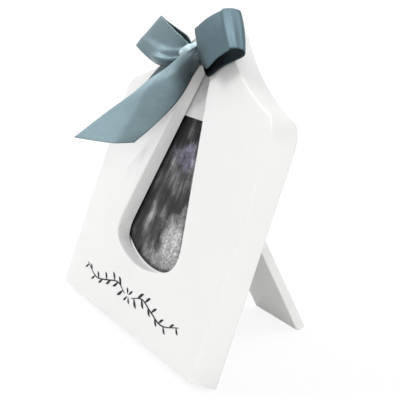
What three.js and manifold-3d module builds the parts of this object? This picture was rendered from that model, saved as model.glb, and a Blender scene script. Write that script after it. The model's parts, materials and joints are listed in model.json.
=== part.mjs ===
// Ultrasound photo frame: a leaning board panel with a fan-shaped window, an easel leg and a ribbon bow.
// Millimetres, +Z up, +X to the right seen from the front, +Y to the back.

import * as THREE from 'three';
import { mergeVertices } from 'three/addons/utils/BufferGeometryUtils.js';
import Module from 'manifold-3d';

const wasm = await Module();
wasm.setup();

const degrees = Math.PI / 180;

// Panel: a board with a rounded peak, hollow flanks and rounded shoulders
const panelWidth = 180;
const panelHeight = 139;
const panelThickness = 12;
const peakRadius = 22;
const shoulderRadius = 12;
const flankSteepest = 33 * degrees;
const flankFlattest = 12 * degrees;
const easedEdge = 0.8;
const leanAngle = 19.4 * degrees;

// Window: a ring sector about a point near the peak, as a scanner's image has
const fanBottomHeight = 27.2;
const fanRadius = 116.6;
const fanTopRadius = 24;
const fanHalfAngle = 21.7 * degrees;
const fanCornerRadius = 10;
const fanTopCornerRadius = 2;

// Rebate in the back of the panel, and the sheets that lie in it
const rebateDepth = 5.7;
const rebateLip = 6;
const rebateClippedWidth = 48;
const rebateClippedHeight = 24;
const sheetGap = 0.2;
const sheetPlay = 0.4;
const glazingThickness = 0.4;
const printThickness = 0.3;
const boardThickness = 4;
const sheetCornerRadius = 2;

// Turn buttons on the back, each on a screw
const buttonLength = 16;
const buttonWidth = 8;
const buttonThickness = 0.9;
const buttonTipRadius = 2.4;
const buttonOverlap = 6;
const sideButtonHeight = 88;
const lowerButtonSpacing = 84;
const screwShankRadius = 1.6;
const screwHeadRadius = 3;
const screwHeadHeight = 1.5;
const screwDepth = 6;
const recessLength = 3.4;
const recessWidth = 0.8;
const recessDepth = 0.8;

// Easel leg and its hinge
const legWidth = 47;
const legThickness = 4;
const legCornerRadius = 4;
const legEase = 0.4;
const hingeHeight = 83;
const openAngle = 44.9 * degrees;
const foldedGap = 0.5;
const metalThickness = 0.8;
const bracketWidth = 24;
const bracketLength = 28;
const strapLength = 24;
const pinRadius = 1;
const pinHeadRadius = 1.8;
const barrelRadius = 2;
const earRadius = 2.8;
const rivetRadius = 1.2;
const rivetHeadRadius = 2.4;
const rivetHeadHeight = 1;
const rivetGrip = 2.6;
const rivetEndDistance = 5;
const rivetSpacing = 8;

// Bow of one ribbon, stuck to the front below the peak
const ribbonWidth = 25;
const ribbonThickness = 0.8;
const knotDrop = 15;
const knotWidth = 15;
const knotHeight = 8.4;
const knotDepth = 8.2;
const knotTilt = 17 * degrees;
const knotRounding = 1.6;
const padSize = 11;
const padThickness = 1.4;
const padCornerRadius = 2;

// Clearance between pieces that touch on the real object
const clearance = 0.3;

// Facets, and how far a cutting tool runs past the face it opens
const arcSteps = 14;
const cornerSteps = 3;
const roundSides = 20;
const overcut = 1;

// Outline helpers

function mirrored(points) {
  return points.map((p) => new THREE.Vector2(-p.x, p.y)).reverse();
}

function arc(centreX, centreY, radius, from, to, steps) {
  const points = [];
  for (let i = 0; i <= steps; i++) {
    const angle = from + ((to - from) * i) / steps;
    points.push(new THREE.Vector2(centreX + radius * Math.cos(angle), centreY + radius * Math.sin(angle)));
  }
  return points;
}

function withoutRepeats(points) {
  return points.filter((p, i) => p.distanceTo(points[(i + 1) % points.length]) > 1e-4);
}

// A corner between two straight runs, replaced by an arc of the given radius
function roundedPolygon(corners, radius, steps) {
  const points = [];
  corners.forEach((corner, i) => {
    const before = corners[(i + corners.length - 1) % corners.length].clone().sub(corner).normalize();
    const after = corners[(i + 1) % corners.length].clone().sub(corner).normalize();
    const halfAngle = Math.acos(before.dot(after)) / 2;
    const reach = radius / Math.tan(halfAngle);
    const start = corner.clone().addScaledVector(before, reach);
    const end = corner.clone().addScaledVector(after, reach);
    const curve = new THREE.QuadraticBezierCurve(start, corner, end);
    points.push(...curve.getPoints(steps));
  });
  return points;
}

// Right half of the panel's edge: up the side, round the shoulder, up the hollow flank, over the peak
function panelHalf() {
  const side = panelWidth / 2;
  const peakEndX = peakRadius * Math.sin(flankSteepest);
  const peakEndY = panelHeight - peakRadius * (1 - Math.cos(flankSteepest));
  const shoulderStartX = side - shoulderRadius * (1 - Math.sin(flankFlattest));
  const flankRadius = (shoulderStartX - peakEndX) / (Math.sin(flankSteepest) - Math.sin(flankFlattest));
  const flankCentreX = peakEndX + flankRadius * Math.sin(flankSteepest);
  const flankCentreY = peakEndY + flankRadius * Math.cos(flankSteepest);
  const shoulderStartY = flankCentreY - flankRadius * Math.cos(flankFlattest);
  const shoulderCentreX = side - shoulderRadius;
  const shoulderCentreY = shoulderStartY - shoulderRadius * Math.cos(flankFlattest);
  const quarter = Math.PI / 2;
  return [
    new THREE.Vector2(side, 0),
    ...arc(shoulderCentreX, shoulderCentreY, shoulderRadius, 0, quarter - flankFlattest, arcSteps),
    ...arc(flankCentreX, flankCentreY, flankRadius, -quarter - flankFlattest, -quarter - flankSteepest, arcSteps),
    ...arc(0, panelHeight - peakRadius, peakRadius, quarter - flankSteepest, quarter, arcSteps),
  ];
}

function panelShape() {
  const half = panelHalf();
  return new THREE.Shape(withoutRepeats([...half, ...mirrored(half)]));
}

const fanCentreHeight = fanBottomHeight + fanRadius;

function fanPoint(radius, angle) {
  return new THREE.Vector2(radius * Math.sin(angle), fanCentreHeight - radius * Math.cos(angle));
}

// Ring sector with rounded corners, made as a loop that bends at each corner
function fanPath() {
  const outer = fanRadius;
  const inner = fanTopRadius;
  const turn = fanHalfAngle;
  const lowCorner = fanCornerRadius / outer;
  const topCorner = fanTopCornerRadius / inner;
  const bend = (start, corner, end) => new THREE.QuadraticBezierCurve(start, corner, end).getPoints(arcSteps / 2);
  const points = [];
  for (let i = 0; i <= arcSteps * 2; i++) {
    points.push(fanPoint(outer, (turn - lowCorner) * (i / arcSteps - 1)));
  }
  points.push(...bend(
    fanPoint(outer, turn - lowCorner), fanPoint(outer, turn), fanPoint(outer - fanCornerRadius, turn)));
  points.push(...bend(
    fanPoint(inner + fanTopCornerRadius, turn), fanPoint(inner, turn), fanPoint(inner, turn - topCorner)));
  for (let i = 0; i <= arcSteps; i++) {
    points.push(fanPoint(inner, (turn - topCorner) * (1 - (2 * i) / arcSteps)));
  }
  points.push(...bend(
    fanPoint(inner, topCorner - turn), fanPoint(inner, -turn), fanPoint(inner + fanTopCornerRadius, -turn)));
  points.push(...bend(
    fanPoint(outer - fanCornerRadius, -turn), fanPoint(outer, -turn), fanPoint(outer, lowCorner - turn)));
  return withoutRepeats(points);
}

// Six-sided opening around the window, its upper corners clipped to stay inside the panel's flanks
function rebateCorners(inset) {
  const half = fanRadius * Math.sin(fanHalfAngle) + rebateLip - inset;
  const low = fanBottomHeight - rebateLip + inset;
  const high = fanCentreHeight - fanTopRadius * Math.cos(fanHalfAngle) + rebateLip / 2 - inset;
  const clippedX = rebateClippedWidth / 2 - inset / 2;
  const clippedY = high - rebateClippedHeight;
  const right = [
    new THREE.Vector2(half, low),
    new THREE.Vector2(half, clippedY),
    new THREE.Vector2(clippedX, high),
  ];
  return [...right, ...mirrored(right)];
}

function rebateShape(inset) {
  return new THREE.Shape(roundedPolygon(rebateCorners(inset), sheetCornerRadius, cornerSteps));
}

// Solid helpers. A plate is drawn in the panel's plane and runs from one depth behind its front face.

function plate(shape, depth, thickness, eased = 0, segments = 2) {
  const geometry = new THREE.ExtrudeGeometry(shape, {
    depth: thickness - 2 * eased,
    bevelEnabled: eased > 0,
    bevelThickness: eased,
    bevelSize: eased,
    bevelOffset: -eased,
    bevelSegments: segments,
    curveSegments: arcSteps,
  });
  geometry.rotateX(Math.PI / 2);
  geometry.translate(0, depth + thickness - eased, 0);
  return geometry;
}

function turned(profile) {
  const points = profile.map(([radius, height]) => new THREE.Vector2(radius, height));
  return new THREE.LatheGeometry(points, roundSides);
}

function positionsOnly(geometry) {
  const bare = geometry.clone();
  bare.deleteAttribute('normal');
  bare.deleteAttribute('uv');
  return mergeVertices(bare, 1e-4);
}

function solid(geometry) {
  const merged = positionsOnly(geometry);
  return new wasm.Manifold(new wasm.Mesh({
    numProp: 3,
    vertProperties: new Float32Array(merged.attributes.position.array),
    triVerts: new Uint32Array(merged.index.array),
  }));
}

function surface(body) {
  const mesh = body.getMesh();
  const geometry = new THREE.BufferGeometry();
  geometry.setAttribute('position', new THREE.BufferAttribute(mesh.vertProperties, 3));
  geometry.setIndex(new THREE.BufferAttribute(mesh.triVerts, 1));
  geometry.computeVertexNormals();
  return geometry;
}

function cut(geometry, tools) {
  return surface(tools.reduce((body, tool) => body.subtract(solid(tool)), solid(geometry)));
}

function join(geometries) {
  return surface(geometries.slice(1).reduce((body, part) => body.add(solid(part)), solid(geometries[0])));
}

function box(x0, x1, y0, y1, z0, z1) {
  const geometry = new THREE.BoxGeometry(x1 - x0, y1 - y0, z1 - z0);
  geometry.translate((x0 + x1) / 2, (y0 + y1) / 2, (z0 + z1) / 2);
  return geometry;
}

// Round bar along the depth axis, from y0 to y1
function depthBar(radius, x, y0, y1, z) {
  const geometry = new THREE.CylinderGeometry(radius, radius, y1 - y0, roundSides);
  geometry.translate(x, (y0 + y1) / 2, z);
  return geometry;
}

// Round bar across the frame, centred on x = 0
function crossBar(radius, length, y, z) {
  const geometry = new THREE.CylinderGeometry(radius, radius, length, roundSides);
  geometry.rotateZ(Math.PI / 2);
  geometry.translate(0, y, z);
  return geometry;
}

// Fastener with a domed head whose underside is at depth y, its shank running forward
function fastener(headRadius, headHeight, shankRadius, shankLength, x, y, z) {
  const geometry = turned([
    [0, -shankLength],
    [shankRadius, -shankLength],
    [shankRadius, 0],
    [headRadius, 0],
    [headRadius, headHeight * 0.45],
    [headRadius * 0.75, headHeight * 0.85],
    [headRadius * 0.35, headHeight],
    [0, headHeight],
  ]);
  geometry.translate(x, y, z);
  return geometry;
}

// Materials

const finish = (color, roughness, metalness = 0) => new THREE.MeshStandardMaterial({ color, roughness, metalness });
const whitePaint = finish(0xf1f1ef, 0.5);
const clearSheet = new THREE.MeshStandardMaterial({
  color: 0xf4f8f8, roughness: 0.05, transparent: true, opacity: 0.25,
});
const printPaper = finish(0x5c5c5e, 0.35);
const boardPaint = finish(0xe6e5e1, 0.65);
const zincSteel = finish(0xb9bcbe, 0.35, 1);
const slateRibbon = finish(0x6d8690, 0.45);
const foam = finish(0xf2f0ea, 0.9);

// Placing

const frame = new THREE.Group();
const panelFrame = new THREE.Group();
frame.add(panelFrame);
panelFrame.rotation.x = -leanAngle;
panelFrame.position.set(0, -panelThickness * Math.cos(leanAngle), panelThickness * Math.sin(leanAngle));

function add(parent, name, geometry, material) {
  const mesh = new THREE.Mesh(geometry, material);
  mesh.name = name;
  parent.add(mesh);
  return mesh;
}

// Depths of the sheets behind the front face
const lipDepth = panelThickness - rebateDepth;
const glazingDepth = lipDepth + sheetGap;
const printDepth = glazingDepth + glazingThickness + sheetGap;
const boardDepth = printDepth + printThickness + sheetGap;
const boardBack = boardDepth + boardThickness;

// Turn buttons: the screw stands outside the rebate and the tip reaches over the back board

const buttonReach = buttonLength - buttonWidth / 2;
const rebateHalfWidth = fanRadius * Math.sin(fanHalfAngle) + rebateLip;
const rebateLow = fanBottomHeight - rebateLip;
const sideButtonX = rebateHalfWidth + buttonReach - buttonOverlap;
const lowerButtonZ = rebateLow - buttonReach + buttonOverlap;
const buttonPlaces = [
  { name: 'side_left', x: -sideButtonX, z: sideButtonHeight, turn: 0 },
  { name: 'side_right', x: sideButtonX, z: sideButtonHeight, turn: Math.PI },
  { name: 'lower_left', x: -lowerButtonSpacing / 2, z: lowerButtonZ, turn: Math.PI / 2 },
  { name: 'lower_right', x: lowerButtonSpacing / 2, z: lowerButtonZ, turn: Math.PI / 2 },
];

function buttonGeometry() {
  const radius = buttonWidth / 2;
  const shape = new THREE.Shape();
  shape.absarc(0, 0, radius, Math.PI / 2, (Math.PI * 3) / 2, false);
  shape.absarc(buttonReach - buttonTipRadius, 0, buttonTipRadius, -Math.PI / 2, Math.PI / 2, false);
  const hole = new THREE.Path();
  hole.absarc(0, 0, screwShankRadius + clearance, 0, Math.PI * 2, true);
  shape.holes.push(hole);
  return plate(shape, 0, buttonThickness);
}

const buttonDepth = panelThickness + clearance;
const screwSeat = buttonDepth + buttonThickness + clearance;

// Screw with a cross recess in its head
function buttonScrew(x, z) {
  const top = screwSeat + screwHeadHeight;
  const slots = [[recessLength, recessWidth], [recessWidth, recessLength]].map(([width, height]) => box(
    x - width / 2, x + width / 2, top - recessDepth, top + overcut, z - height / 2, z + height / 2));
  return cut(fastener(screwHeadRadius, screwHeadHeight, screwShankRadius, screwDepth, x, screwSeat, z), slots);
}

for (const place of buttonPlaces) {
  const button = add(panelFrame, `turn_button_${place.name}`, buttonGeometry(), zincSteel);
  button.position.set(place.x, buttonDepth, place.z);
  button.rotation.y = -place.turn;
  add(panelFrame, `button_screw_${place.name}`, buttonScrew(place.x, place.z), zincSteel);
}

// Front panel with its window, rebate and screw holes

function frontPanel() {
  const shape = panelShape();
  shape.holes.push(new THREE.Path(fanPath()));
  const rebate = plate(rebateShape(0), lipDepth, rebateDepth + overcut);
  const screwHoles = buttonPlaces.map((place) => depthBar(
    screwShankRadius + clearance, place.x, screwSeat - screwDepth - clearance, panelThickness + overcut, place.z));
  return cut(plate(shape, 0, panelThickness, easedEdge), [rebate, ...screwHoles]);
}

add(panelFrame, 'front_panel', frontPanel(), whitePaint);
add(panelFrame, 'glazing', plate(rebateShape(sheetPlay), glazingDepth, glazingThickness), clearSheet);
add(panelFrame, 'scan_print', plate(rebateShape(sheetPlay), printDepth, printThickness), printPaper);

// Leg hinge. The pin lies behind the back board, level with the rear face of the folded leg.

const strapInset = legThickness + clearance + metalThickness / 2;
const pinDepth = panelThickness + foldedGap + strapInset;
const bracketDepth = boardBack + clearance;
const bracketBack = bracketDepth + metalThickness;
const rivetSeat = bracketBack + clearance;
const rivetDepth = metalThickness + 2 * clearance + rivetGrip;
const bracketRivets = [0, 1].map((i) => hingeHeight + bracketLength - earRadius - rivetEndDistance - i * rivetSpacing);

function backBoard() {
  const holes = bracketRivets.map((z) => depthBar(
    rivetRadius + clearance, 0, rivetSeat - rivetDepth - clearance, boardBack + overcut, z));
  return cut(plate(rebateShape(sheetPlay), boardDepth, boardThickness), holes);
}

add(panelFrame, 'back_board', backBoard(), boardPaint);

// Bracket: a plate on the back board with two ears folded back round the pin
function bracket() {
  const low = hingeHeight - earRadius;
  const half = bracketWidth / 2;
  const base = box(-half, half, bracketDepth, bracketBack, low, low + bracketLength);
  const ears = [-half, half - metalThickness].map((x) => {
    const web = box(x, x + metalThickness, bracketDepth, pinDepth, low, hingeHeight + earRadius);
    const tip = new THREE.CylinderGeometry(earRadius, earRadius, metalThickness, roundSides);
    tip.rotateZ(Math.PI / 2);
    tip.translate(x + metalThickness / 2, pinDepth, hingeHeight);
    return [web, tip];
  });
  const holes = bracketRivets.map((z) => depthBar(
    rivetRadius + clearance, 0, bracketDepth - overcut, bracketBack + overcut, z));
  const pinHole = crossBar(pinRadius + clearance, bracketWidth + 2 * overcut, pinDepth, hingeHeight);
  return cut(join([base, ...ears.flat()]), [...holes, pinHole]);
}

add(panelFrame, 'hinge_bracket', bracket(), zincSteel);
bracketRivets.forEach((z, i) => {
  add(panelFrame, `bracket_rivet_${i + 1}`,
    fastener(rivetHeadRadius, rivetHeadHeight, rivetRadius, rivetDepth, 0, rivetSeat, z), zincSteel);
});

// Pin: a bar through both ears with a head at each end
function hingePin() {
  const headReach = bracketWidth / 2 + clearance;
  const headThickness = metalThickness;
  const heads = [-1, 1].map((side) => {
    const head = new THREE.CylinderGeometry(pinHeadRadius, pinHeadRadius, headThickness, roundSides);
    head.rotateZ(Math.PI / 2);
    head.translate(side * (headReach + headThickness / 2), pinDepth, hingeHeight);
    return head;
  });
  return join([crossBar(pinRadius, 2 * headReach + headThickness, pinDepth, hingeHeight), ...heads]);
}

add(panelFrame, 'hinge_pin', hingePin(), zincSteel);

// Leg, turned about the pin. In its own frame it hangs straight down from the pin, its front face ahead of it.

const legFrame = new THREE.Group();
legFrame.position.set(0, pinDepth, hingeHeight);
legFrame.rotation.x = openAngle;
panelFrame.add(legFrame);

const legFront = -strapInset;
const legBack = legFront + legThickness;
const legTop = -(earRadius + clearance * 2);
const footSlope = Math.tan(leanAngle);
const pinBehindBack = pinDepth - panelThickness;
const footDrop = hingeHeight + legFront * Math.sin(openAngle)
  - (pinBehindBack + legFront * Math.cos(openAngle)) * footSlope;
const sharpLegLength = footDrop / (Math.cos(openAngle) + Math.sin(openAngle) * footSlope);
const legLean = openAngle - leanAngle;
const easedLift = easedEdge * Math.sin(leanAngle) - legEase * Math.sin(legLean);
const legLength = sharpLegLength - easedLift / Math.cos(legLean);
const strapRivets = [0, 1].map((i) => -strapLength + rivetEndDistance + i * rivetSpacing);
const strapFront = -metalThickness / 2;
const strapBack = metalThickness / 2;
const strapRivetSeat = strapBack + clearance;
const strapRivetDepth = metalThickness + 2 * clearance + rivetGrip;

function easelLeg() {
  const half = legWidth / 2;
  const top = [
    new THREE.Vector2(half, -legLength),
    new THREE.Vector2(half, legTop - legCornerRadius),
    ...arc(half - legCornerRadius, legTop - legCornerRadius, legCornerRadius, 0, Math.PI / 2, arcSteps / 2),
  ];
  const shape = new THREE.Shape(withoutRepeats([...top, ...mirrored(top)]));
  const holes = strapRivets.map((z) => depthBar(
    rivetRadius + clearance, 0, strapRivetSeat - strapRivetDepth - clearance, legBack + overcut, z));
  return cut(plate(shape, legFront, legThickness, legEase, 1), holes);
}

// Strap: a plate on the leg's rear face, rolled round the pin, with a heel above the pin that meets the bracket
function hingeStrap() {
  const half = bracketWidth / 2 - metalThickness - clearance * 2;
  const stopDepth = pinDepth - bracketBack - clearance;
  const heel = (stopDepth - strapBack * Math.cos(openAngle)) / Math.sin(openAngle);
  const leaf = box(-half, half, strapFront, strapBack, -strapLength, heel);
  const barrel = crossBar(barrelRadius, 2 * half, 0, 0);
  const holes = strapRivets.map((z) => depthBar(
    rivetRadius + clearance, 0, strapFront - overcut, strapBack + overcut, z));
  const pinHole = crossBar(pinRadius + clearance, 2 * (half + overcut), 0, 0);
  return cut(join([leaf, barrel]), [...holes, pinHole]);
}

add(legFrame, 'easel_leg', easelLeg(), whitePaint);
add(legFrame, 'hinge_strap', hingeStrap(), zincSteel);
strapRivets.forEach((z, i) => {
  add(legFrame, `strap_rivet_${i + 1}`,
    fastener(rivetHeadRadius, rivetHeadHeight, rivetRadius, strapRivetDepth, 0, strapRivetSeat, z), zincSteel);
});

// Bow. A ribbon run is a list of stations about the knot's centre on the front face:
// [right, up, out] of its middle, [right, up, out] across it, and the share of the ribbon's width there.

const knotFrame = new THREE.Group();
knotFrame.position.set(0, 0, panelHeight - knotDrop);
panelFrame.add(knotFrame);

// The loops leave the tilted knot's ends, and the front tail leaves its underside
const knotFront = padThickness + 2 * clearance + knotDepth;
const rootReach = knotWidth / 2 + 2 * clearance;
const rootRight = rootReach * Math.cos(knotTilt);
const rootUp = rootReach * Math.sin(knotTilt);
const tailDrop = knotHeight / 2 + 2 * clearance;
const tailRight = tailDrop * Math.sin(knotTilt);
const tailDown = tailDrop * Math.cos(knotTilt);

const loopRight = [
  [[rootRight, rootUp, 6.4], [0.3, -1, 0], 0.3],
  [[16.7, 1.4, 9.5], [17.2, -14.6, -4], 0.92],
  [[27, 6.6, 9.8], [18, -15.3, -2.4], 0.95],
  [[39.8, 11.7, 8], [18, -15.5, -0.8], 0.95],
  [[41.6, 11.9, 5.2], [17, -15.6, -0.8], 0.93],
  [[37.2, 10.7, 2.2], [16, -16, -0.5], 0.93],
  [[27, 7.2, 1.5], [17, -15, -0.3], 0.93],
  [[16, 3.2, 1.6], [13, -15, -0.4], 0.85],
  [[9.5, 0, 2.4], [8, -15, -0.6], 0.75],
  [[rootRight, rootUp, 4.2], [0.3, -1, 0], 0.3],
];
const loopLeft = [
  [[-rootRight, -rootUp, 6.6], [0.3, -1, 0], 0.3],
  [[-15.5, -2.6, 9.8], [-8.5, -14.6, -0.5], 0.68],
  [[-29, -0.9, 11.4], [-12, -17.3, -0.8], 0.85],
  [[-51, 3.7, 11.4], [-18, -15.6, 1], 0.96],
  [[-55, 4.8, 8.7], [-17, -15.5, 1], 0.95],
  [[-51, 3.6, 6.2], [-16, -16, 0.5], 0.93],
  [[-28, -2.2, 4.3], [-12, -17, 0.5], 0.85],
  [[-15, -3.2, 3.6], [-6, -14, 0], 0.55],
  [[-rootRight, -rootUp, 4.4], [0.3, -1, 0], 0.3],
];
const tailFront = [
  [[tailRight, -tailDown, 6.6], [-tailDown, -tailRight, 0.7], 0.5],
  [[-5.2, -11.2, 7.7], [-18.4, -0.3, 6.5], 0.78],
  [[-13.9, -18.7, 8.2], [-16.2, 1.8, 10.5], 0.8],
  [[-22.5, -26.5, 9.4], [-22.6, 1, 13.2], 0.97],
  [[-37, -36.7, 11], [-20, 0.5, 16], 1],
  [[-53, -50.5, 15], [-22, -7, 22], 1.25],
];
const tailRear = [
  [[-5, -9.8, 1.5], [-4, 6, 0], 0.25],
  [[-20.5, -11, 1.3], [-6, 10.5, 0], 0.72],
  [[-40, -19.2, 1.3], [-8, 9.5, 0], 1],
  [[-58, -33, 1.3], [-8.5, 9.5, 0], 1],
];

// Out from the front face is towards -Y in the panel's frame
const outward = ([right, up, out]) => new THREE.Vector3(right, -out, up);

// Closed strip of the ribbon's thickness, smooth along its stations
function ribbon(stations, stepsPerStation) {
  const middle = new THREE.CatmullRomCurve3(stations.map(([place]) => outward(place)), false, 'centripetal');
  const across = new THREE.CatmullRomCurve3(
    stations.map(([, side, share]) => outward(side).normalize().multiplyScalar(share)), false, 'centripetal');
  const steps = (stations.length - 1) * stepsPerStation;
  const positions = [];
  for (let i = 0; i <= steps; i++) {
    const t = i / steps;
    const centre = middle.getPoint(t);
    const side = across.getPoint(t).multiplyScalar(ribbonWidth / 2);
    const lift = middle.getTangent(t).cross(side).normalize().multiplyScalar(ribbonThickness / 2);
    const corners = [[-1, 1], [1, 1], [1, -1], [-1, -1]];
    for (const [edge, face] of corners) {
      const corner = centre.clone().addScaledVector(side, edge).addScaledVector(lift, face);
      positions.push(corner.x, corner.y, corner.z);
    }
  }
  const faces = [];
  const quad = (a, b, c, d) => faces.push(a, c, b, a, d, c);
  for (let i = 0; i < steps; i++) {
    for (let j = 0; j < 4; j++) {
      const k = (j + 1) % 4;
      quad(4 * i + j, 4 * i + k, 4 * i + 4 + k, 4 * i + 4 + j);
    }
  }
  quad(3, 2, 1, 0);
  quad(4 * steps, 4 * steps + 1, 4 * steps + 2, 4 * steps + 3);
  const geometry = new THREE.BufferGeometry();
  geometry.setAttribute('position', new THREE.Float32BufferAttribute(positions, 3));
  geometry.setIndex(faces);
  return geometry;
}

// Knot: the ribbon wrapped once round the middle, an oval bundle tilted up to the right
function knot() {
  const shape = new THREE.Shape();
  shape.absellipse(0, 0, knotHeight / 2, knotDepth / 2, 0, Math.PI * 2, false);
  const geometry = new THREE.ExtrudeGeometry(shape, {
    depth: knotWidth - 2 * knotRounding,
    bevelThickness: knotRounding,
    bevelSize: knotRounding,
    bevelOffset: -knotRounding,
    bevelSegments: 3,
    curveSegments: arcSteps,
  });
  geometry.translate(0, 0, knotRounding - knotWidth / 2);
  geometry.applyMatrix4(new THREE.Matrix4().set(
    0, 0, 1, 0,
    0, 1, 0, knotDepth / 2 - knotFront,
    -1, 0, 0, 0,
    0, 0, 0, 1));
  geometry.rotateY(-knotTilt);
  return geometry;
}

function pad() {
  const half = padSize / 2;
  const corners = [[half, -half], [half, half], [-half, half], [-half, -half]];
  const outline = corners.map(([x, y]) => new THREE.Vector2(x, y));
  const shape = new THREE.Shape(roundedPolygon(outline, padCornerRadius, cornerSteps));
  return plate(shape, -(padThickness + clearance), padThickness);
}

add(knotFrame, 'bow_pad', pad(), foam);
add(knotFrame, 'bow_knot', knot(), slateRibbon);
add(knotFrame, 'bow_loop_right', ribbon(loopRight, 5), slateRibbon);
add(knotFrame, 'bow_loop_left', ribbon(loopLeft, 5), slateRibbon);
add(knotFrame, 'bow_tail_front', ribbon(tailFront, 4), slateRibbon);
add(knotFrame, 'bow_tail_rear', ribbon(tailRear, 4), slateRibbon);

// The origin is the middle of the frame's footprint, at the height of the surface it stands on
const extent = new THREE.Box3().setFromObject(frame, true);
panelFrame.position.y -= (extent.min.y + extent.max.y) / 2;
panelFrame.position.z -= extent.min.z;

export default frame;
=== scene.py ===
"""Ultrasound photo frame: painted board, scan print, ribbon bow and a plain studio."""

import json
import math

import bmesh
import bpy
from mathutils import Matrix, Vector

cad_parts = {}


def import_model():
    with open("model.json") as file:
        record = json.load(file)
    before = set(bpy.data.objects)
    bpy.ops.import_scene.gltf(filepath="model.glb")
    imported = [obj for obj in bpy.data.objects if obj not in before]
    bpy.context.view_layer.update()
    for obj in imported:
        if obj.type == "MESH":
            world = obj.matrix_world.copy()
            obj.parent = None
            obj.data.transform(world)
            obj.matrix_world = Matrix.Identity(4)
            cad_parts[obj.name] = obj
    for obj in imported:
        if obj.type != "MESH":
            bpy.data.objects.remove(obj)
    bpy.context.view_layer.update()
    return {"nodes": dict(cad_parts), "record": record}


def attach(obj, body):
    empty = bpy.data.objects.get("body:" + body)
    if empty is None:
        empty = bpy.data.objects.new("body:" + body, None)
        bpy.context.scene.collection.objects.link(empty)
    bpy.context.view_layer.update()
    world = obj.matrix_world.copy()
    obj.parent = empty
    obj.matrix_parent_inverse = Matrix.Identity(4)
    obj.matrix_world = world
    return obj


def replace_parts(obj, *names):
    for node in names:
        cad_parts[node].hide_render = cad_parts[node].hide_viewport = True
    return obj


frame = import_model()

# Everything on the frame is given in millimetres, and the studio in metres
MM = 0.001

# Panel's own directions, from the bottom face that the record states
PANEL_THICKNESS = 12
mounts = {mount["name"]: mount for mount in frame["record"]["mounts"]}
RIGHT = Vector((1, 0, 0))
UP = -Vector(mounts["panel_bottom"]["axis"])
DEPTH = UP.cross(RIGHT)
ORIGIN = Vector(mounts["panel_bottom"]["pos_m"]) - DEPTH * PANEL_THICKNESS / 2 * MM

# Camera at the photograph's angle, with its frame 400 pixels square
CAMERA_AZIMUTH = math.radians(69.522)
CAMERA_ELEVATION = math.radians(10.293)
CAMERA_DISTANCE = 0.6397
CAMERA_AIM = Vector((0.00007, -0.00057, 0.05682))
CAMERA_NEAR = 0.01
SENSOR_WIDTH = 36
FRAME_PIXELS = 400
FOCAL_PIXELS = 1454.79

# Studio: level of the even light, floor, and lamps by name, place, width and power
SOFT_LIGHT = 0.28
FLOOR_HALF = 40.0
FLOOR_WHITE = (0.92, 0.92, 0.92, 1)
FLOOR_GLOW = 1.04
SHADOW_REACH = (0.2, 0.6)
SHADOW_KEPT = 0.8
LAMPS = [
    ("key", (-0.55, -0.78, 1.02), 0.6, 7.6),
    ("right", (1.2, -0.18, 0.54), 0.8, 7.4),
    ("back", (0, 0.55, 1.24), 0.8, 4.8),
    ("left", (-0.55, 0, 1.24), 0.8, 3.4),
    ("side", (-1.06, 0, 0.8), 0.8, 2.6),
    ("front", (0.15, -1.27, 0.28), 0.8, 0.6),
]

# Scan image, a fan about a point near the panel's peak, and millimetres of its speckle to a radian
FAN_CENTRE = 143.8
FAN_HALF_ANGLE = math.radians(21.7)
FAN_SPREAD = 60
IMAGE_TOP = 96
IMAGE_RADIUS = 115.7

# Brightness of the scan image by height, in tenths of a metre
BAND_HEIGHT = 100
BANDS = [(0.3, 1.0), (0.58, 1.1), (0.67, 2.2), (0.76, 1.4), (0.85, 0.45), (0.96, 0.18)]

# Uneven ovals in the scan image: place right and up, half width, half height, and soft share of the radius
CAVITY = (6, 56, 21, 13, 0.7)
PALE_MASS = (11, 42, 15, 17, 0.6)
FAR_WALL = (8, 29, 24, 7, 0.6)
TINTED_BAND = (0, 79, 24, 6, 0.8)

# Ribbon bow, about the middle of the knot on the front face
KNOT_HEIGHT = 124
RIBBON_WIDTH = 25
RIBBON_THICKNESS = 0.35
WOVEN_EDGE = 0.8
ROOT = 5.5

# Knot: place, size and tilt, how it draws in towards its edges, and the pleats that sway along its turn
KNOT_RIGHT = -1
KNOT_UP = -0.5
KNOT_OUT = 6
KNOT_WIDTH = 15
KNOT_RADIUS = 4
KNOT_RISE = 3.3
KNOT_BULGE = 3.5
KNOT_TILT = math.radians(20)
KNOT_LEAN = 1.2
KNOT_DRAWN = 0.15
KNOT_PINCH = 0.25
KNOT_PLEAT = 0.04
KNOT_WAVES = 2.4
KNOT_SWAY = 2.6

# Painted shade about the pocket between the knot and the right loop, and how far it reaches
POCKET = (13, -13, 6)
POCKET_REACH = 22

# Gathers by the knot: height, length over which they fade, and waves across the ribbon
PLEAT_HEIGHT = 0.55
PLEAT_FADE = 5
PLEAT_WAVES = 8
PLEAT_SHIFT = 0.6

# Right loop: crown across it, and a welt at a share of its length
LOOP_CROWN = 0.7
WELT_HEIGHT = 0.7
WELT_SHARE = 0.42
WELT_WIDTH = 1.3

# Left loop: ridge that slants across it, bulge by the knot, and lower edge turned in
RIDGE_HEIGHT = 1.3
RIDGE_SLANT = 0.012
BULGE_HEIGHT = 3.6
TURN_SLOPE = 6
TURN_FROM = 0.6

# Front tail: arch along it, and a crease in half widths from its middle, which slants on the way to the end
TAIL_LENGTH = 78
ARCH_HEIGHT = 4.5
ARCH_SHARE = 0.36
ARCH_REACH = 0.2
ARCH_REST = 0.4
CREASE_START = 1.1
CREASE_SLANT = 1.5
CREASE_LIMIT = 0.85
CREASE_HEIGHT = 1.8
CREASE_ROUND = 0.07

# Rear tail: crown across it, and share of the gathers
REAR_CROWN = 0.2
REAR_PLEATS = 0.5

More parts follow.
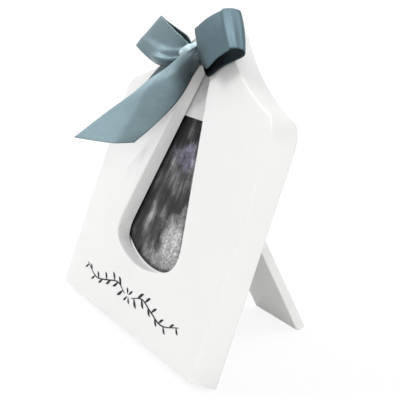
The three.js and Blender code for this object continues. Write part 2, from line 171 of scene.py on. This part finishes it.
# Stations of each run of ribbon: place right, up and out, direction of one edge, and share of the full width
LOOP_RIGHT = [
    [(ROOT, 1.6, 6.4), (0.3, -1, 0), 0.3],
    [(17.2, 1, 9.8), (18, -15.4, -3.5), 0.96],
    [(27, 6.6, 9.8), (18, -15.3, -2.4), 0.95],
    [(39.8, 11.7, 8), (18, -15.5, -0.8), 0.95],
    [(41.6, 11.9, 5.2), (17, -15.6, -0.8), 0.93],
    [(37.2, 10.7, 2.2), (16, -16, -0.5), 0.93],
    [(27, 7.2, 1.5), (17, -15, -0.3), 0.93],
    [(16, 3.2, 1.6), (13, -15, -0.4), 0.85],
    [(10.5, -1, 2.2), (5.5, -15, -0.6), 0.72],
    [(ROOT, 1, 4.2), (0.3, -1, 0), 0.3],
]
LOOP_LEFT = [
    [(-ROOT, -1.4, 6.6), (0.3, -1, 0), 0.3],
    [(-15.5, -2.6, 9.8), (-8.5, -14.6, -0.5), 0.68],
    [(-29, -0.9, 11.4), (-12, -17.3, -0.8), 0.85],
    [(-51, 3.7, 11.4), (-18, -15.6, 1), 0.96],
    [(-54.6, 3.7, 9.4), (-17.6, -15.5, 1), 0.96],
    [(-51.5, 3, 7.6), (-16.6, -16, 0.5), 0.88],
    [(-28, -2.2, 4.3), (-12, -17, 0.5), 0.85],
    [(-15, -3.2, 3.6), (-6, -14, 0), 0.55],
    [(-ROOT, -2, 4.4), (0.3, -1, 0), 0.3],
]
TAIL_FRONT = [
    [(6.9, 1.2, 7.6), (-6, -2.5, 1), 0.12],
    [(4.4, -4.5, 8), (-14, 1.2, 3.2), 0.66],
    [(-5.2, -11.2, 7.7), (-18.4, -0.3, 6.5), 0.78],
    [(-13.9, -18.7, 8.2), (-16.2, 1.8, 10.5), 0.8],
    [(-22.5, -26.5, 9.4), (-22.6, 1, 13.2), 0.97],
    [(-37, -36.7, 11), (-20, 0.5, 16), 1],
    [(-53, -50.5, 15), (-22, -7, 22), 1.25],
]
TAIL_REAR = [
    [(-3, -4, 3), (-3, 5, 0), 0.16],
    [(-7, -8.6, 1.7), (-4, 6, 0), 0.3],
    [(-20.5, -11, 1.3), (-6, 10.5, 0), 0.72],
    [(-40, -19.2, 1.3), (-8, 9.5, 0), 1],
    [(-58, -33, 1.3), (-8.5, 9.5, 0), 1],
]

# Leafy stems either side of four petals, in place of the line of writing on the panel
FLOURISH_HEIGHT = 13.5
FILM_BACK = 0.02
FILM_FRONT = 0.14
STEM = [(5, 0), (17, 2.4), (31, 0.2), (46, -1.8), (64, 1.8)]
STEM_WIDTH = 0.6
STEM_TIP = 0.3
LEAVES = 11
LEAF_START = 0.6
LEAF_ANGLE = math.radians(38)
LEAF_LENGTH = 7
LEAF_TAPER = 2.6
LEAF_FATNESS = 0.24
LEAF_BEND = 0.25
LEAF_TIP = 0.08
PETAL_BASE = (0.6, 0.5)
PETAL_ANGLE = math.radians(45)
PETAL_LENGTH = 4.2
PETAL_WIDTH = 1.3

# Colours, linear
WHITE_PAINT = (0.87, 0.87, 0.86, 1)
BOARD_PAINT = (0.80, 0.79, 0.76, 1)
# One satin in lit and shaded copies: painted light on the front tail, a painted highlight on the knot,
# painted shade on the right loop, lighter painted shade on the left loop and deep painted shade on the rear
# tail
SATIN_PAINTED_LIT = (0.248, 0.348, 0.386, 1)
SATIN_PAINTED_HIGHLIGHT = (0.5, 0.62, 0.67, 1)
SATIN_PAINTED_SHADE = (0.107, 0.162, 0.186, 1)
SATIN_PAINTED_HALF_SHADE = (0.148, 0.212, 0.238, 1)
SATIN_PAINTED_DEEP_SHADE = (0.075, 0.12, 0.14, 1)
SATIN_GLOSS = (0.64, 0.76, 0.81, 1)
SATIN_SHEEN = (0.8, 0.93, 1, 1)
ZINC = (0.55, 0.57, 0.58, 1)
ZINC_CLOUD = (0.45, 0.47, 0.48, 1)
INK = (0.005, 0.005, 0.006, 1)
INK_GRAIN = (0.014, 0.014, 0.015, 1)
PAPER = (0.95, 0.95, 0.94, 1)
FOAM = (0.85, 0.83, 0.78, 1)
FOAM_CELL = (0.6, 0.58, 0.54, 1)
CAVITY_GREY = (0.02, 0.02, 0.022, 1)
MASS_GREY = (0.62, 0.62, 0.63, 1)
WALL_GREY = (0.42, 0.42, 0.43, 1)
VIOLET_TINT = (0.16, 0.15, 0.22, 1)


def on_panel(right, up, out):
    """Place in the scene of a point in millimetres along the panel's front face and out from it."""
    return ORIGIN + (RIGHT * right + UP * up - DEPTH * out) * MM


def new_object(name, data):
    """Mesh, lamp or camera put into the scene."""
    piece = bpy.data.objects.new(name, data)
    bpy.context.collection.objects.link(piece)
    return piece


# Helpers for materials

def new_material(name):
    material = bpy.data.materials.new(name)
    material.use_nodes = True
    return material, material.node_tree, material.node_tree.nodes["Principled BSDF"]


def feed(tree, socket, value):
    """Link a socket to another one, or set it."""
    if isinstance(value, bpy.types.NodeSocket):
        tree.links.new(value, socket)
    else:
        socket.default_value = value


def feed_all(tree, node, inputs):
    for name, value in inputs.items():
        feed(tree, node.inputs[name], value)


def add(tree, kind, inputs=None, **settings):
    """New shader node, with its settings and its inputs set or linked."""
    node = tree.nodes.new("ShaderNode" + kind)
    for name, value in settings.items():
        setattr(node, name, value)
    feed_all(tree, node, inputs or {})
    return node


def calc(tree, operation, *values):
    """Result of a sum on numbers."""
    return add(tree, "Math", dict(enumerate(values)), operation=operation).outputs[0]


def vector_calc(tree, operation, *values):
    """Result of a sum on vectors: a vector where it subtracts, or else a number."""
    node = add(tree, "VectorMath", dict(enumerate(values)), operation=operation)
    return node.outputs["Vector" if operation == "SUBTRACT" else "Value"]


def vary(tree, value, low, span):
    """From low to low + span as a value goes from 0 to 1."""
    return calc(tree, "MULTIPLY_ADD", value, span, low)


def hypotenuse(tree, x, y):
    return calc(tree, "SQRT", calc(tree, "ADD", calc(tree, "POWER", x, 2), calc(tree, "POWER", y, 2)))


def flat_place(tree, x, y):
    return add(tree, "CombineXYZ", {"X": x, "Y": y}).outputs[0]


def stretch(tree, place, scale):
    return add(tree, "Mapping", {"Vector": place, "Scale": scale}).outputs[0]


def ramp(tree, value, *stops):
    """Colour ramp with (place, grey or colour) stops."""
    node = add(tree, "ValToRGB", {"Fac": value})
    elements = node.color_ramp.elements
    while len(elements) < len(stops):
        elements.new(1)
    for element, (place, colour) in zip(elements, stops):
        element.position = place
        element.color = colour if isinstance(colour, tuple) else (colour, colour, colour, 1)
    return node.outputs["Color"]


def mix(tree, factor, first, second, blend_type="MIX"):
    """Mix of two colours."""
    node = add(tree, "Mix", data_type="RGBA", blend_type=blend_type)
    feed_all(tree, node, {0: factor, 6: first, 7: second})
    return node.outputs[2]


def times(tree, tone, factor):
    """Tone multiplied by a grey or another colour."""
    return mix(tree, 1.0, tone, factor, "MULTIPLY")


def shade(colour, level):
    """Colour brought down to a level."""
    return tuple(level * c for c in colour[:3]) + (1,)


def object_place(tree):
    return add(tree, "TexCoord").outputs["Object"]


def bump(tree, height, distance, strength):
    inputs = {"Height": height, "Distance": distance, "Strength": strength}
    return add(tree, "Bump", inputs).outputs["Normal"]


def noise(tree, place, scale, detail=2.0, roughness=0.5):
    inputs = {"Vector": place, "Scale": scale, "Detail": detail, "Roughness": roughness}
    return add(tree, "TexNoise", inputs).outputs["Fac"]


# Materials

def painted_board(name, colour, roughness, uneven=0.12):
    """Sprayed paint on fibreboard: a faint orange peel and slow changes of tone."""
    material, tree, shader = new_material(name)
    place = object_place(tree)
    cloud = noise(tree, place, scale=22, detail=3)
    peel = noise(tree, place, scale=900)
    feed_all(tree, shader, {
        "Base Color": ramp(tree, cloud, (0.3, shade(colour, 0.97)), (0.7, colour)),
        "Roughness": vary(tree, peel, low=roughness - uneven / 2, span=uneven),
        "Specular IOR Level": 0.3,
        "Normal": bump(tree, peel, distance=0.00006, strength=0.35),
    })
    return material


def zinc_steel(name):
    """Zinc-plated pressed steel, with fine scratches and slight clouding."""
    material, tree, shader = new_material(name)
    place = object_place(tree)
    scratch = noise(tree, stretch(tree, place, (4000, 300, 300)), scale=1, detail=3)
    cloud = noise(tree, place, scale=260, detail=3)
    feed_all(tree, shader, {
        "Base Color": ramp(tree, cloud, (0.3, ZINC_CLOUD), (0.7, ZINC)),
        "Metallic": 1,
        "Roughness": vary(tree, scratch, low=0.25, span=0.25),
        "Normal": bump(tree, scratch, distance=0.00003, strength=0.4),
    })
    return material


def foam_pad(name):
    """Adhesive foam, with open cells."""
    material, tree, shader = new_material(name)
    cells = add(tree, "TexVoronoi", {"Vector": object_place(tree), "Scale": 1500}).outputs["Distance"]
    feed_all(tree, shader, {
        "Base Color": ramp(tree, cells, (0.0, FOAM_CELL), (0.5, FOAM)),
        "Roughness": 0.9,
        "Normal": bump(tree, cells, distance=0.0002, strength=0.6),
    })
    return material


def ink(name):
    """Matte black cut film."""
    material, tree, shader = new_material(name)
    grain = noise(tree, object_place(tree), scale=2500)
    feed_all(tree, shader, {
        "Base Color": ramp(tree, grain, (0.3, INK), (0.8, INK_GRAIN)),
        "Roughness": 0.6,
        "Specular IOR Level": 0.15,
    })
    return material


def clear_sheet(name):
    """Thin clear glazing: the print shows through and a little gloss lies on it."""
    material, tree, shader = new_material(name)
    tree.nodes.remove(shader)
    through = add(tree, "BsdfTransparent")
    gloss = add(tree, "BsdfGlossy", {"Roughness": 0.12})
    slant = add(tree, "LayerWeight").outputs["Facing"]
    share = vary(tree, calc(tree, "POWER", slant, 4), low=0.002, span=0.03)
    joined = add(tree, "MixShader", {0: share, 1: through.outputs[0], 2: gloss.outputs[0]})
    feed(tree, tree.nodes["Material Output"].inputs["Surface"], joined.outputs[0])
    return material


def scan_print(name):
    """Scan print: grey speckle in a fan about the scanner's point, with a white margin about the image."""
    material, tree, shader = new_material(name)
    offset = vector_calc(tree, "SUBTRACT", object_place(tree), ORIGIN)
    height = vector_calc(tree, "DOT_PRODUCT", offset, UP / MM)
    side = vector_calc(tree, "DOT_PRODUCT", offset, RIGHT / MM)
    drop = calc(tree, "SUBTRACT", FAN_CENTRE, height)
    angle = calc(tree, "ARCTAN2", side, drop)
    radius = hypotenuse(tree, side, drop)
    fan = flat_place(tree, calc(tree, "MULTIPLY", angle, FAN_SPREAD), radius)
    flat = flat_place(tree, side, height)

    # Coarse speckle, rays that run down from the scanner's point, and larger clouds of tissue in bands
    speckle = noise(tree, fan, scale=0.8, detail=3, roughness=0.6)
    rays = noise(tree, stretch(tree, fan, (0.3, 0.035, 1)), scale=1, roughness=0.4)
    clouds = noise(tree, flat, scale=0.075, roughness=0.45)
    grey = calc(tree, "MULTIPLY", ramp(tree, clouds, (0.34, 0.02), (0.52, 0.07), (0.72, 0.34)),
                ramp(tree, rays, (0.35, 0.15), (0.65, 1.4)))
    grey = times(tree, grey, ramp(tree, calc(tree, "DIVIDE", height, BAND_HEIGHT), *BANDS))

    # Dark cavity, pale mass below it, far wall, and a violet tint near the top
    drift = vary(tree, noise(tree, flat, scale=0.11), low=-11, span=22)
    shear = vary(tree, noise(tree, fan, scale=0.09), low=-13, span=26)
    moved_side = calc(tree, "ADD", side, drift)
    moved_height = calc(tree, "ADD", height, shear)

    def patch(right, up, half_width, half_height, soft):
        """1 inside an uneven oval of the print, falling to 0 outside it."""
        x = calc(tree, "DIVIDE", calc(tree, "SUBTRACT", moved_side, right), half_width)
        y = calc(tree, "DIVIDE", calc(tree, "SUBTRACT", moved_height, up), half_height)
        return ramp(tree, hypotenuse(tree, x, y), (1 - soft, 1.0), (1.0, 0.0))

    mass = calc(tree, "MULTIPLY", patch(*PALE_MASS), ramp(tree, clouds, (0.25, 0.3), (0.55, 1.0)))
    wall = calc(tree, "MULTIPLY", patch(*FAR_WALL), ramp(tree, rays, (0.3, 0.2), (0.6, 1.0)))
    grey = mix(tree, patch(*CAVITY), grey, CAVITY_GREY)
    grey = mix(tree, mass, grey, MASS_GREY)
    grey = mix(tree, wall, grey, WALL_GREY)
    image = mix(tree, patch(*TINTED_BAND), grey, VIOLET_TINT, "ADD")
    image = times(tree, image, ramp(tree, speckle, (0.3, 0.5), (0.5, 0.9), (0.7, 1.5)))

    # Image darker in a thin band down both sides of the fan and along its rim, and white paper outside it
    aside = calc(tree, "ABSOLUTE", calc(tree, "DIVIDE", angle, FAN_HALF_ANGLE))
    image = times(tree, image, ramp(tree, aside, (0.94, 1.0), (0.975, 0.2)))
    reach = calc(tree, "DIVIDE", radius, IMAGE_RADIUS)
    image = times(tree, image, ramp(tree, reach, (0.982, 1.0), (0.99, 0.25)))
    in_image = calc(tree, "MULTIPLY", calc(tree, "LESS_THAN", height, IMAGE_TOP),
                    calc(tree, "LESS_THAN", radius, IMAGE_RADIUS))
    feed_all(tree, shader, {
        "Base Color": mix(tree, in_image, PAPER, image),
        "Roughness": 0.5,
        "Specular IOR Level": 0.05,
    })
    return material


def crease_painted_light(tree, tone, across, along):
    """Painted light and shade beside the front tail's crease, lighter on one side and darker on the other,
    and a painted highlight towards the cut end.
    """
    share = calc(tree, "DIVIDE", along, TAIL_LENGTH)
    crease = vary(tree, share, low=CREASE_START, span=-CREASE_SLANT)
    past = calc(tree, "SUBTRACT", calc(tree, "DIVIDE", across, RIBBON_WIDTH / 2), crease)
    tone = times(tree, tone, ramp(tree, calc(tree, "ADD", past, 0.5), (0.38, 0.86), (0.6, 1.15)))
    return times(tree, tone, ramp(tree, share, (0.4, 1.0), (1.0, 1.2)))


def pocket_painted_shade(tree, tone):
    """Painted shade, deepest in the pocket between the knot and the right loop."""
    right, up, out = POCKET
    middle = on_panel(right, KNOT_HEIGHT + up, out)
    away = vector_calc(tree, "DISTANCE", object_place(tree), middle)
    share = calc(tree, "DIVIDE", away, POCKET_REACH * MM)
    return times(tree, tone, ramp(tree, share, (0.4, 0.08), (0.6, 0.28), (0.8, 0.8), (0.92, 1.0)))


def satin_ribbon(name, colour, metallic, specular, roughness, crease_light_painted=False, shaded=True):
    """Satin ribbon: a cross rib, a woven edge, a soft gloss, and painted shade where it closes in; painted
    light and shade by the front tail's crease and painted shade in the pocket by the knot where asked.
    """
    material, tree, shader = new_material(name)
    deep = shade(colour, 0.78)
    uv = add(tree, "UVMap").outputs[0]
    parts = add(tree, "SeparateXYZ", {0: uv})
    across, along = parts.outputs["X"], parts.outputs["Y"]
    rib = add(tree, "TexWave", {"Vector": uv, "Scale": 0.9, "Distortion": 0.25, "Detail": 1.0},
              bands_direction="Y").outputs["Fac"]
    slub = noise(tree, stretch(tree, uv, (0.12, 2.2, 1)), scale=1, detail=3)
    cloud = noise(tree, uv, scale=0.07)
    edge = calc(tree, "GREATER_THAN", calc(tree, "ABSOLUTE", across), RIBBON_WIDTH / 2 - WOVEN_EDGE)
    threads = calc(tree, "ADD", rib, calc(tree, "MULTIPLY", edge, 0.8))
    closed = add(tree, "AmbientOcclusion", {"Distance": 0.025}, samples=12).outputs["AO"]

    tone = mix(tree, ramp(tree, slub, (0.3, 0.0), (0.75, 1.0)), deep, colour)
    tone = mix(tree, ramp(tree, cloud, (0.35, 0.35), (0.65, 0.0)), tone, colour)
    tone = mix(tree, calc(tree, "MULTIPLY", edge, 0.3), tone, deep)
    # Painted shade: darker where ambient occlusion finds the ribbon closed in
    tone = times(tree, tone, ramp(tree, closed, (0.2, 0.2), (0.6, 0.5), (0.95, 1.0)))
    # Painted light and shade beside the crease, where asked
    if crease_light_painted:
        tone = crease_painted_light(tree, tone, across, along)
    # Painted shade in the pocket by the knot, where asked
    if shaded:
        tone = pocket_painted_shade(tree, tone)
    feed_all(tree, shader, {
        "Base Color": tone,
        "Metallic": metallic,
        "Roughness": vary(tree, rib, low=roughness, span=0.08),
        "Specular IOR Level": specular,
        "Specular Tint": SATIN_GLOSS,
        "Anisotropic": 0.6,
        "Tangent": add(tree, "Tangent", direction_type="UV_MAP").outputs[0],
        "Sheen Weight": 0.03,
        "Sheen Roughness": 0.35,
        "Sheen Tint": SATIN_SHEEN,
        "Normal": bump(tree, threads, distance=0.00008, strength=0.35),
    })
    return material


# Ribbon runs

def catmull_rom(points, share):
    """Point at a share of the stations along a smooth curve through points."""
    place = share * (len(points) - 1)
    i = min(int(place), len(points) - 2)
    w = place - i
    p1, p2 = points[i], points[i + 1]
    p0 = points[i - 1] if i > 0 else 2 * p1 - p2
    p3 = points[i + 2] if i + 2 < len(points) else 2 * p2 - p1
    d0, d1, d2 = (math.sqrt((b - a).length) for a, b in ((p0, p1), (p1, p2), (p2, p3)))
    d1 = d1 if d1 > 1e-4 else 1.0
    d0 = d0 if d0 > 1e-4 else d1
    d2 = d2 if d2 > 1e-4 else d1
    m1 = ((p1 - p0) / d0 - (p2 - p0) / (d0 + d1) + (p2 - p1) / d1) * d1
    m2 = ((p2 - p1) / d1 - (p3 - p1) / (d1 + d2) + (p3 - p2) / d2) * d1
    w2, w3 = w * w, w * w * w
    return (p1 * (2 * w3 - 3 * w2 + 1) + p2 * (3 * w2 - 2 * w3)
            + m1 * (w3 - 2 * w2 + w) + m2 * (w3 - w2))


def heading(points, share, reach):
    """Direction of the curve through points, from a little before a share of it to a little after."""
    return catmull_rom(points, min(share + reach, 1)) - catmull_rom(points, max(share - reach, 0))


def strip(name, rows, closed=False):
    """Mesh strip through rows, one to a station, of (point in millimetres about the knot, across, along)."""
    mesh = bpy.data.meshes.new(name)
    columns = len(rows[0])
    points = [on_panel(p.x, KNOT_HEIGHT + p.y, p.z) for row in rows for p, _, _ in row]
    texture = [(across, along) for row in rows for _, across, along in row]
    last = len(rows) if closed else len(rows) - 1
    faces = []
    for i in range(last):
        for j in range(columns - 1):
            a, b = i * columns + j, (i + 1) % len(rows) * columns + j
            faces.append((a, a + 1, b + 1, b))
    mesh.from_pydata(points, [], faces)
    layer = mesh.uv_layers.new(name="ribbon")
    for loop in mesh.loops:
        layer.data[loop.index].uv = texture[loop.vertex_index]
    mesh.polygons.foreach_set("use_smooth", [True] * len(faces))
    return new_object(name, mesh)


def finish_ribbon(piece, satin):
    """Thickness and satin for a strip, which moves with the frame."""
    solidify = piece.modifiers.new("thickness", "SOLIDIFY")
    solidify.thickness = RIBBON_THICKNESS * MM
    solidify.offset = 0
    piece.data.materials.append(satin)
    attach(piece, "frame")


def hill(value, centre, width):
    """Smooth bump of height 1."""
    return math.exp(-((value - centre) / width) ** 2)


def pleats(v, from_knot):
    """Gathers that fade away from the knot."""
    return PLEAT_HEIGHT * math.exp(-from_knot / PLEAT_FADE) * math.cos(PLEAT_WAVES * v + PLEAT_SHIFT)


def relief_loop_right(v, along, length):
    """Crowned loop with a pressed welt along the front of its fold."""
    crown = LOOP_CROWN * (1 - v * v)
    welt = WELT_HEIGHT * hill(along, WELT_SHARE * length, WELT_WIDTH)
    return crown + welt + pleats(v, min(along, length - along))


def relief_loop_left(v, along, length):
    """Loop with a slanting ridge, a bulge by the knot, and its lower edge turned in below that."""
    ridge = RIDGE_HEIGHT * hill(v, RIDGE_SLANT * along, width=0.24) * hill(along, centre=24, width=18)
    bulge = BULGE_HEIGHT * hill(v, centre=0.7, width=0.32) * hill(along, centre=17, width=8)
    turned = -TURN_SLOPE * max(0.0, v - TURN_FROM) * hill(along, centre=16, width=16)
    return ridge + bulge + turned + pleats(v, min(along, length - along))


def relief_tail_front(v, along, length):
    """Tail that arches as it leaves the knot, with a crease that slants across it to its cut end."""
    share = along / length
    arch = (ARCH_HEIGHT * hill(share, ARCH_SHARE, ARCH_REACH) + ARCH_REST) * (1 - v * v)
    middle = min(CREASE_LIMIT, CREASE_START - CREASE_SLANT * share)
    slope = (1 - v) / (1 - middle) if v > middle else (1 + v) / (1 + middle)
    crease = CREASE_HEIGHT * share * (1 + CREASE_ROUND - math.hypot(1 - slope, CREASE_ROUND))
    return arch + crease + pleats(v, along)


def relief_tail_rear(v, along, length):
    """Nearly flat tail that lies on the panel."""
    return REAR_CROWN * (1 - v * v) + REAR_PLEATS * pleats(v, along)


def ribbon_run(name, stations, relief, satin, steps=14, columns=36):
    """Ribbon through its stations, raised on its outer side by relief(v, along, length), v from -1 to 1."""
    middles = [Vector(place) for place, _, _ in stations]
    sides = [Vector(side).normalized() * share for _, side, share in stations]
    count = (len(stations) - 1) * steps
    shares = [i / count for i in range(count + 1)]
    centres = [catmull_rom(middles, share) for share in shares]
    alongs = [0.0]
    for before, after in zip(centres, centres[1:]):
        alongs.append(alongs[-1] + (after - before).length)
    facing = (middles[2] - middles[1]).cross(sides[1])
    outward = 1 if facing.z > 0 else -1
    rows = []
    for share, centre, along in zip(shares, centres, alongs):
        side = catmull_rom(sides, share)
        normal = heading(middles, share, reach=0.001).cross(side).normalized() * outward
        row = []
        for j in range(columns + 1):
            v = 2 * j / columns - 1
            across = v * RIBBON_WIDTH / 2
            point = centre + side * across + normal * relief(v, along, alongs[-1])
            row.append((point, across, along))
        rows.append(row)
    piece = strip(name, rows)
    finish_ribbon(piece, satin)
    return piece


def knot_band(satin, turns=72, columns=24):
    """Band wrapped round the middle of the bow, drawn in at its edges and pleated along its turn."""
    rows = []
    for i in range(turns):
        turn = 2 * math.pi * i / turns
        row = []
        for j in range(columns + 1):
            v = 2 * j / columns - 1
            pleat = KNOT_PLEAT * math.cos(KNOT_WAVES * math.pi * v + KNOT_SWAY * math.cos(turn))
            draw = 1 - KNOT_DRAWN * v ** 2 - KNOT_PINCH * v ** 4 + pleat
            right = v * KNOT_WIDTH / 2
            up = KNOT_RISE * draw * math.cos(turn)
            out = KNOT_OUT - KNOT_LEAN * v + KNOT_BULGE * draw * math.sin(turn)
            tilted = Vector((KNOT_RIGHT + right * math.cos(KNOT_TILT) - up * math.sin(KNOT_TILT),
                             KNOT_UP + right * math.sin(KNOT_TILT) + up * math.cos(KNOT_TILT), out))
            row.append((tilted, right, turn * KNOT_RADIUS))
        rows.append(row)
    piece = strip("knot_band", rows, closed=True)
    finish_ribbon(piece, satin)
    return piece


# Flourish of cut film

def stroke(points, widest, thinnest, steps=8):
    """Pairs of edge points of a pen stroke through points, widest in the middle."""
    path = [Vector(point) for point in points]
    count = (len(path) - 1) * steps
    pairs = []
    for i in range(count + 1):
        share = i / count
        here = catmull_rom(path, share)
        ahead = heading(path, share, reach=0.002)
        half = (thinnest + (widest - thinnest) * math.sin(math.pi * share)) / 2
        side = Vector((-ahead.y, ahead.x)).normalized() * half
        pairs.append((here + side, here - side))
    return pairs


def leaf(base, angle, length, width):
    """Pointed leaf that bends a little towards its tip."""
    points = []
    for share in (0, 0.5, 1):
        turn = angle * (1 - LEAF_BEND * share)
        points.append((base[0] + length * share * math.cos(turn), base[1] + length * share * math.sin(turn)))
    return stroke(points, width, LEAF_TIP)


def flourish_half():
    """Strokes of the right half: the stem, leaves above and below it by turns, and two petals."""
    path = [Vector(point) for point in STEM]
    strokes = [stroke(STEM, STEM_WIDTH, STEM_TIP)]
    for i in range(LEAVES):
        share = (i + LEAF_START) / LEAVES
        side = 1 if i % 2 else -1
        length = LEAF_LENGTH - LEAF_TAPER * share
        strokes.append(leaf(catmull_rom(path, share), side * LEAF_ANGLE, length, LEAF_FATNESS * length))
    for side in (1, -1):
        base = (PETAL_BASE[0], side * PETAL_BASE[1])
        strokes.append(leaf(base, side * PETAL_ANGLE, PETAL_LENGTH, PETAL_WIDTH))
    return strokes


def flourish():
    """Both halves as one thin film on the panel."""
    mesh = bmesh.new()
    for mirror in (1, -1):
        for pairs in flourish_half():
            rings = []
            for left, right in pairs:
                corners = ((left, FILM_BACK), (left, FILM_FRONT), (right, FILM_FRONT), (right, FILM_BACK))
                rings.append([mesh.verts.new(on_panel(mirror * corner.x, FLOURISH_HEIGHT + corner.y, out))
                              for corner, out in corners])
            for first, second in zip(rings, rings[1:]):
                for j in range(4):
                    k = (j + 1) % 4
                    mesh.faces.new((first[j], first[k], second[k], second[j]))
            mesh.faces.new(rings[0])
            mesh.faces.new(rings[-1][::-1])
    bmesh.ops.recalc_face_normals(mesh, faces=mesh.faces)
    data = bpy.data.meshes.new("panel_flourish")
    mesh.to_mesh(data)
    mesh.free()
    piece = new_object("panel_flourish", data)
    data.materials.append(ink("black_film"))
    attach(piece, "frame")


# Studio

def white_to(tree):
    """1 for a ray that shows the backdrop: from the camera, a reflection or through the glazing."""
    paths = add(tree, "LightPath")
    past = calc(tree, "MAXIMUM", paths.outputs["Is Glossy Ray"], paths.outputs["Is Transmission Ray"])
    return calc(tree, "MAXIMUM", paths.outputs["Is Camera Ray"], past)


def floor():
    """White floor that keeps a soft shadow near the frame."""
    mesh = bpy.data.meshes.new("floor")
    corners = [(x * FLOOR_HALF, y * FLOOR_HALF, 0) for x, y in ((-1, -1), (1, -1), (1, 1), (-1, 1))]
    mesh.from_pydata(corners, [], [(0, 1, 2, 3)])
    piece = new_object("floor", mesh)
    material, tree, shader = new_material("floor_white")
    feed_all(tree, shader, {"Base Color": FLOOR_WHITE, "Roughness": 0.9, "Specular IOR Level": 0})
    near, far = SHADOW_REACH
    white = ramp(tree, vector_calc(tree, "LENGTH", object_place(tree)), (near, SHADOW_KEPT), (far, 1.0))
    seen = calc(tree, "MULTIPLY", white_to(tree), white)
    glow = add(tree, "Emission", {"Strength": FLOOR_GLOW})
    joined = add(tree, "MixShader", {0: seen, 1: shader.outputs[0], 2: glow.outputs[0]})
    feed(tree, tree.nodes["Material Output"].inputs["Surface"], joined.outputs[0])
    mesh.materials.append(material)


def world(strength):
    """Even soft light, and white where the camera or a reflection sees past the floor."""
    sky = bpy.data.worlds.new("studio")
    bpy.context.scene.world = sky
    sky.use_nodes = True
    tree = sky.node_tree
    level = vary(tree, white_to(tree), low=strength, span=1 - strength)
    feed_all(tree, tree.nodes["Background"], {"Color": (1, 1, 1, 1), "Strength": level})


def lamp(name, place, size, power):
    """Square lamp aimed at the middle of the frame."""
    light = bpy.data.lights.new(name, "AREA")
    light.size = size
    light.energy = power
    piece = new_object(name, light)
    piece.location = place
    piece.rotation_euler = (CAMERA_AIM - Vector(place)).to_track_quat("-Z", "Y").to_euler()


def camera():
    """Camera at its distance from the point that it looks at."""
    data = bpy.data.cameras.new("camera")
    data.sensor_width = SENSOR_WIDTH
    data.lens = FOCAL_PIXELS / FRAME_PIXELS * SENSOR_WIDTH
    data.clip_start = CAMERA_NEAR
    piece = new_object("camera", data)
    level = math.cos(CAMERA_ELEVATION)
    back = Vector((
        math.sin(CAMERA_AZIMUTH) * level,
        -math.cos(CAMERA_AZIMUTH) * level,
        math.sin(CAMERA_ELEVATION),
    ))
    piece.location = CAMERA_AIM + back * CAMERA_DISTANCE
    piece.rotation_euler = (-back).to_track_quat("-Z", "Y").to_euler()
    bpy.context.scene.camera = piece


# Boards, print and hardware, whose shapes stay as they are

def dress(material, *nodes):
    for node in nodes:
        piece = frame["nodes"][node]
        piece.data.materials.clear()
        piece.data.materials.append(material)


HARDWARE = ("turn_button", "button_screw", "hinge_", "bracket_rivet", "strap_rivet")
dress(painted_board("white_paint", WHITE_PAINT, roughness=0.55), "front_panel", "easel_leg")
dress(painted_board("back_paint", BOARD_PAINT, roughness=0.65), "back_board")
dress(clear_sheet("clear_sheet"), "glazing")
dress(scan_print("scan_print"), "scan_print")
dress(foam_pad("foam"), "bow_pad")
dress(zinc_steel("zinc_steel"), *(node for node in frame["nodes"] if node.startswith(HARDWARE)))

# Bow: one satin in lit and shaded copies, with more gloss on the knot and front tail, painted light on the
# front tail, a painted highlight on the knot, and painted shade on the loops and rear tail

satin_painted_lit = satin_ribbon("satin_painted_lit", SATIN_PAINTED_LIT, metallic=0.5, specular=0.6, roughness=0.34, crease_light_painted=True)
satin_painted_highlight = satin_ribbon("satin_painted_highlight", SATIN_PAINTED_HIGHLIGHT, metallic=0.5, specular=0.6, roughness=0.34, shaded=False)
satin_painted_shade = satin_ribbon("satin_painted_shade", SATIN_PAINTED_SHADE, metallic=0.6, specular=0.15, roughness=0.28)
satin_painted_half_shade = satin_ribbon("satin_painted_half_shade", SATIN_PAINTED_HALF_SHADE, metallic=0.6, specular=0.4, roughness=0.25)
satin_painted_deep_shade = satin_ribbon("satin_painted_deep_shade", SATIN_PAINTED_DEEP_SHADE, metallic=0.3, specular=0.15, roughness=0.34)
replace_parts(ribbon_run("loop_right", LOOP_RIGHT, relief_loop_right, satin_painted_shade), "bow_loop_right")
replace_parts(ribbon_run("loop_left", LOOP_LEFT, relief_loop_left, satin_painted_half_shade), "bow_loop_left")
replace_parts(ribbon_run("tail_front", TAIL_FRONT, relief_tail_front, satin_painted_lit), "bow_tail_front")
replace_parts(ribbon_run("tail_rear", TAIL_REAR, relief_tail_rear, satin_painted_deep_shade), "bow_tail_rear")
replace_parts(knot_band(satin_painted_highlight), "bow_knot")
flourish()

floor()
world(SOFT_LIGHT)
for lamp_row in LAMPS:
    lamp(*lamp_row)
camera()
bpy.context.scene.view_settings.view_transform = "Standard"
